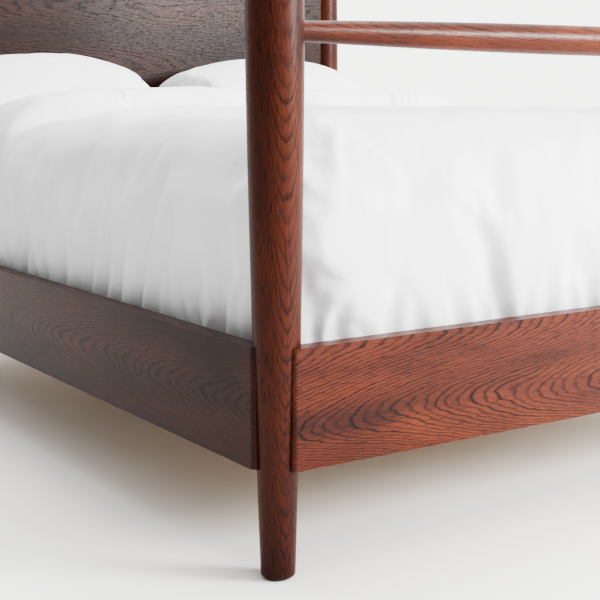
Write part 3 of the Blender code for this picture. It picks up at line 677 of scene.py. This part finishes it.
def fill_grid(points, start, counts, top):
    """Faces of a grid inside the ring whose points begin at start, adding the points it needs.

    The ring's four corner arcs are split in half between the grid's sides, and an inner
    point is a Coons patch of those sides.
    """
    across, along, turn = counts
    half = turn // 2
    ring = 2 * (across + along) + 4 * turn
    wide, long = across + turn, along + turn
    right = [start + (half + i) % ring for i in range(long + 1)]
    head = [start + (half + long + i) % ring for i in range(wide + 1)]
    left = [start + (half + long + wide + i) % ring for i in range(long + 1)]
    foot = [start + (half + 2 * long + wide + i) % ring for i in range(wide + 1)]
    head.reverse()
    left.reverse()
    grid = []
    for j in range(long + 1):
        v = j / long
        row = []
        for i in range(wide + 1):
            u = i / wide
            if j == 0:
                row.append(foot[i])
            elif j == long:
                row.append(head[i])
            elif i == 0:
                row.append(left[j])
            elif i == wide:
                row.append(right[j])
            else:
                sideways = [points[left[j]][k] * (1 - u) + points[right[j]][k] * u for k in (0, 1)]
                endways = [points[foot[i]][k] * (1 - v) + points[head[i]][k] * v for k in (0, 1)]
                corners = (foot[0], foot[wide], head[0], head[wide])
                shares = ((1 - u) * (1 - v), u * (1 - v), (1 - u) * v, u * v)
                both = [sum(points[p][k] * s for p, s in zip(corners, shares)) for k in (0, 1)]
                x, y = (sideways[k] + endways[k] - both[k] for k in (0, 1))
                row.append(len(points))
                points.append((x, y, top(x, y)))
        grid.append(row)
    return [
        (grid[j][i], grid[j][i + 1], grid[j + 1][i + 1], grid[j + 1][i])
        for j in range(long)
        for i in range(wide)
    ]


def fill_with_air(obj, pressure, frames, most, slack, pinned=()):
    """Swells a cover by cloth simulation with some slack cloth. No point moves further than most.

    slack is the share by which the cloth is larger than the mesh. The points whose numbers
    are in pinned stay where they are.
    """
    before = [v.co.copy() for v in obj.data.vertices]
    cloth = obj.modifiers.new("cloth", "CLOTH")
    cloth.settings.quality = 5
    cloth.settings.use_pressure = True
    cloth.settings.uniform_pressure_force = pressure
    cloth.settings.shrink_min = -slack
    if pinned:
        group = obj.vertex_groups.new(name="held")
        group.add(list(pinned), 1.0, "REPLACE")
        cloth.settings.vertex_group_mass = group.name
    cloth.settings.effector_weights.gravity = 0.0
    cloth.collision_settings.use_collision = False
    scene = bpy.context.scene
    for step in range(1, frames + 1):
        scene.frame_set(step)
    swollen = obj.evaluated_get(bpy.context.evaluated_depsgraph_get())
    after = [v.co.copy() for v in swollen.data.vertices]
    obj.modifiers.remove(cloth)
    scene.frame_set(1)
    for vertex, old, new in zip(obj.data.vertices, before, after):
        move = new - old
        if move.length > most:
            move *= most / move.length
        vertex.co = old + move


# ---------------------------------------------------------------- duvet

DUVET_HALF_X = 0.7650
DUVET_FOOT_Y = -1.0555
DUVET_HEAD_Y = 0.545
DUVET_BOTTOM = 0.332
DUVET_SHOULDER = 0.560
DUVET_TOP = 0.755
DUVET_DOME = 0.340
DUVET_COUNTS = (96, 104, 12)
DUVET_CORNERS = (0.120, 0.040)
DUVET_THICKNESS = 0.007
SKIRT_LEVELS = 15
DOME_LEVELS = 24
TURNDOWN_FRONT = 0.190
TURNDOWN_RISE = 0.047
PLEAT_SEED = 11
PLEAT_GAP = 0.066
PLEAT_WIDTH = 0.016
PLEAT_DEPTH = 0.024
CORNER_PLEAT_WALK = 0.094
CORNER_PLEAT = (0.024, 0.020, 0.10, 0.66)
POST_CLEARANCE = 0.0500
MOST_CRUMPLE = 0.02
HEM_HEIGHT = 0.020


def duvet_height(inset, x, y):
    """Height of the cover at that distance in from its outline, with the folded-back edge."""
    share = min(inset / DUVET_DOME, 1.0)
    dome = DUVET_SHOULDER + (DUVET_TOP - DUVET_SHOULDER) * (1.0 - (1.0 - share) ** 3) ** 0.5
    front = TURNDOWN_FRONT + 0.012 * math.sin(5.0 * x + 1.0) + 0.006 * math.sin(17.0 * x)
    lip = ease(y, front, front + 0.030)
    crease = 0.009 * math.exp(-(((y - front + 0.006) / 0.014) ** 2))
    fold = TURNDOWN_RISE * lip - crease
    return dome + fold * min(share * 9.0, 1.0)


def pleat_list(seed, length, gap, width, depth):
    """Folds along an edge of that length: (place, width, depth, lean, top)."""
    draw = random.Random(seed)
    place = 0.5 * gap
    found = []
    while place < length:
        wide = width * draw.uniform(0.55, 1.5)
        deep = depth * draw.uniform(0.3, 1.0)
        found.append((place, wide, deep, draw.uniform(-0.35, 0.35), draw.uniform(0.50, 0.70)))
        place += gap * draw.uniform(0.5, 1.6)
    return found


def pleat_depth(pleats, walk, z):
    """How far the skin is drawn in at that distance along the hem and that height."""
    total = 0.0
    for place, width, depth, lean, top in pleats:
        gap = walk - place - lean * (z - 0.36)
        spread = width * (1.0 + 1.6 * ease(z, 0.40, top))
        if abs(gap) < 3.0 * spread:
            total += depth * ease(z, top, 0.38) * math.exp(-((gap / spread) ** 2))
    return total


def ridge(point, seed):
    """Sharp crested wrinkles, 0 to 1."""
    warp = noise.noise_vector(point * 0.6 + Vector((seed, 0.0, 0.0)))
    return (1.0 - abs(noise.noise(point + warp * 0.9 + Vector((0.0, seed, 0.0))))) ** 3


def keep_inside(point):
    """Holds a point of the duvet's skirt clear of the rails and posts round it."""
    if point.z > 0.70:
        return
    point.x = max(min(point.x, DUVET_HALF_X + 0.004), -DUVET_HALF_X - 0.004)
    point.y = max(point.y, DUVET_FOOT_Y - 0.001)
    for side in (-1, 1):
        away = Vector((point.x - side * POST_X, point.y + POST_Y))
        if away.length < POST_CLEARANCE:
            away *= POST_CLEARANCE / away.length
            point.x, point.y = side * POST_X + away.x, away.y - POST_Y


def crumple_duvet(skin):
    """Puffs, soft furrows and small creases on the cover, kept clear of the posts and rails."""
    skin.data.update()
    normals = [v.normal.copy() for v in skin.data.vertices]
    for vertex, normal in zip(skin.data.vertices, normals):
        p = vertex.co
        crown = ease(p.z, 0.60, 0.74)
        hang = 1.0 - crown
        puff = 0.012 * noise.noise(Vector((p.x * 3.2, p.y * 3.2, p.z * 2.0 + 4.0)))
        furrow = 0.0075 * ridge(Vector((p.x * 5.0, p.y * 3.4, p.z * 3.0)), 2.0)
        near_corner = math.exp(-(((abs(p.x) - 0.70) / 0.14) ** 2) - (((p.y + 0.98) / 0.16) ** 2))
        pull = ridge(Vector((p.x * 9.0 + p.z * 7.0, p.y * 9.0, p.z * 4.0)), 5.0)
        small = 0.0042 * ridge(Vector((p.x * 17.0, p.y * 17.0, p.z * 12.0)), 8.0)
        lower = ease(p.z, 0.52, 0.38)
        push = crown * (puff + furrow) + hang * (0.7 * puff - 0.006)
        push += small * (0.25 + 0.75 * lower + near_corner)
        push += 0.018 * near_corner * (pull - 0.5)
        if p.y > 0.5 and crown < 0.5:
            push *= 0.4
        vertex.co = p + normal * max(min(push, MOST_CRUMPLE), -MOST_CRUMPLE)
        keep_inside(vertex.co)


def build_duvet(linen):
    """A pleated skirt that runs on into the domed top. The hem is tucked in behind the rails."""
    plan = (DUVET_FOOT_Y, DUVET_HEAD_Y, DUVET_HALF_X, *DUVET_CORNERS)
    outer = plan_outline(*plan, 0.0, DUVET_COUNTS)
    walk = [0.0]
    for (a, _), (b, _) in zip(outer, outer[1:]):
        walk.append(walk[-1] + math.dist(a, b))
    pleats = pleat_list(PLEAT_SEED, walk[-1], PLEAT_GAP, PLEAT_WIDTH, PLEAT_DEPTH)
    for corner in (CORNER_PLEAT_WALK, walk[-1] - CORNER_PLEAT_WALK):
        pleats.append((corner, *CORNER_PLEAT))
    rings = []
    skirt = DUVET_SHOULDER - DUVET_BOTTOM
    levels = [(0.0, DUVET_BOTTOM + skirt * i / SKIRT_LEVELS) for i in range(SKIRT_LEVELS)]
    insets = [0.0] + [DUVET_DOME * (i / DOME_LEVELS) ** 1.9 for i in range(1, DOME_LEVELS + 1)]
    for inset, height in levels + [(inset, None) for inset in insets]:
        ring = []
        for index, ((x, y), out) in enumerate(plan_outline(*plan, inset, DUVET_COUNTS)):
            z = height if height is not None else duvet_height(inset, x, y)
            push = -pleat_depth(pleats, walk[index], z)
            ring.append((x + out[0] * push, y + out[1] * push, z))
        rings.append(ring)
    skin = ring_mesh("duvet_cover", rings, DUVET_COUNTS, lambda x, y: duvet_height(DUVET_DOME, x, y))
    hem = [v.index for v in skin.data.vertices if v.co.z < DUVET_BOTTOM + HEM_HEIGHT]
    fill_with_air(skin, pressure=0.4, frames=14, most=0.014, slack=0.035, pinned=hem)
    crumple_duvet(skin)
    solid = skin.modifiers.new("thickness", "SOLIDIFY")
    solid.thickness = DUVET_THICKNESS
    solid.offset = -1.0
    subdivide(skin)
    piece(skin, "bedding", linen)
    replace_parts(skin, "duvet")


# ---------------------------------------------------------------- mattress

MATTRESS_COUNTS = (60, 80, 8)
MATTRESS_CORNER = 0.095
MATTRESS_EDGE = 0.022
MATTRESS_BELLY = 0.004


def build_mattress(ticking):
    """A block with rounded corners and edges, whose sides swell a little."""
    low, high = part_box("mattress")
    half = high.x - 0.012
    plan = (low.y + 0.008, high.y, half, MATTRESS_CORNER, MATTRESS_CORNER)
    edge = MATTRESS_EDGE
    rings = []
    profile = arc((edge, low.z + edge), edge, -90, -180, 5)
    profile += [(0.0, low.z + edge + (high.z - low.z - 2 * edge) * i / 10) for i in range(1, 10)]
    profile += arc((edge, high.z - edge), edge, 180, 90, 5)
    for inset, z in profile:
        share = (z - low.z) / (high.z - low.z)
        belly = MATTRESS_BELLY * math.sin(math.pi * share)
        outline = plan_outline(*plan, inset + MATTRESS_BELLY, MATTRESS_COUNTS)
        rings.append([(x + out[0] * belly, y + out[1] * belly, z) for (x, y), out in outline])
    top = rings[-1][0][2]
    made = ring_mesh("mattress_core", rings, MATTRESS_COUNTS, lambda x, y: top, close_bottom=True)
    piece(made, "bedding", ticking)
    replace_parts(made, "mattress")


# ---------------------------------------------------------------- pillows

PILLOW_HALF_X = 0.372
PILLOW_HALF_Y = 0.235
PILLOW_HALF_THICKNESS = 0.124
PILLOW_TILT = math.radians(25.0)
PILLOW_PLACE = (0.392, 0.785, 0.772)
PILLOW_STEPS = (72, 48)
SEAM_HALF_HEIGHT = 0.004


def pillow_shape(name):
    """The pillow case before it is filled: two faces that share their sewn edge."""
    steps_x, steps_y = PILLOW_STEPS
    row = steps_x + 1
    points = []
    faces = []
    for layer in (1, -1):
        start = len(points)
        for j in range(steps_y + 1):
            for i in range(row):
                u, v = 2 * i / steps_x - 1, 2 * j / steps_y - 1
                swell = max(0.0, 1.0 - u * u) ** 0.45 * max(0.0, 1.0 - v * v) ** 0.5
                x = PILLOW_HALF_X * u * (1.0 - 0.06 * (1.0 - v * v))
                y = PILLOW_HALF_Y * v * (1.0 - 0.05 * (1.0 - u * u))
                y -= 0.070 * abs(u) ** 2.2 * (0.5 + 0.5 * v)
                z = layer * (0.90 * PILLOW_HALF_THICKNESS * swell)
                points.append((x, y, z))
        for j in range(steps_y):
            for i in range(steps_x):
                a = start + j * row + i
                quad = (a, a + 1, a + row + 1, a + row)
                faces.append(quad if layer > 0 else tuple(reversed(quad)))
    made = mesh_object(name, points, faces, smooth=True)
    weld(made)
    return made


def build_pillow(side, linen):
    """side is -1 for the left pillow and 1 for the right one."""
    name = "pillow_right" if side > 0 else "pillow_left"
    made = pillow_shape(f"{name}_cover")
    fill_with_air(made, pressure=4.0, frames=20, most=0.022, slack=0.03)
    made.data.update()
    for vertex in made.data.vertices:
        p = vertex.co
        edge = max(abs(p.x) / PILLOW_HALF_X, abs(p.y) / PILLOW_HALF_Y)
        gather = ease(edge, 0.45, 0.95)
        wave = ridge(Vector((p.x * 16.0 + side, p.y * 16.0, p.z * 6.0)), 3.0 + side)
        soft = 0.008 * noise.noise(Vector((p.x * 5.0, p.y * 5.0, p.z * 4.0 + side)))
        off_seam = 1.0 if abs(p.z) > SEAM_HALF_HEIGHT else 0.0
        vertex.co = p + vertex.normal * off_seam * (soft + 0.0045 * (wave - 0.5) * gather)
    place = Matrix.Translation((PILLOW_PLACE[0] * side, *PILLOW_PLACE[1:]))
    made.data.transform(place @ Matrix.Rotation(PILLOW_TILT, 4, "X"))
    subdivide(made)
    piece(made, name, linen)
    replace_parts(made, name)


# ---------------------------------------------------------------- assembly

build_camera()
build_studio()
oak_group()
finish_cad_nodes()
build_posts()
build_cross_rails()
duvet_linen = linen_material("duvet_linen", rgb(0.735, 0.74, 0.755), rgb(0.69, 0.695, 0.715), 0.0045)
pillow_linen = linen_material("pillow_linen", rgb(0.72, 0.725, 0.735), rgb(0.68, 0.685, 0.70), 0.0035)
build_duvet(duvet_linen)
build_mattress(ticking_material())
for side in (-1, 1):
    build_pillow(side, pillow_linen)
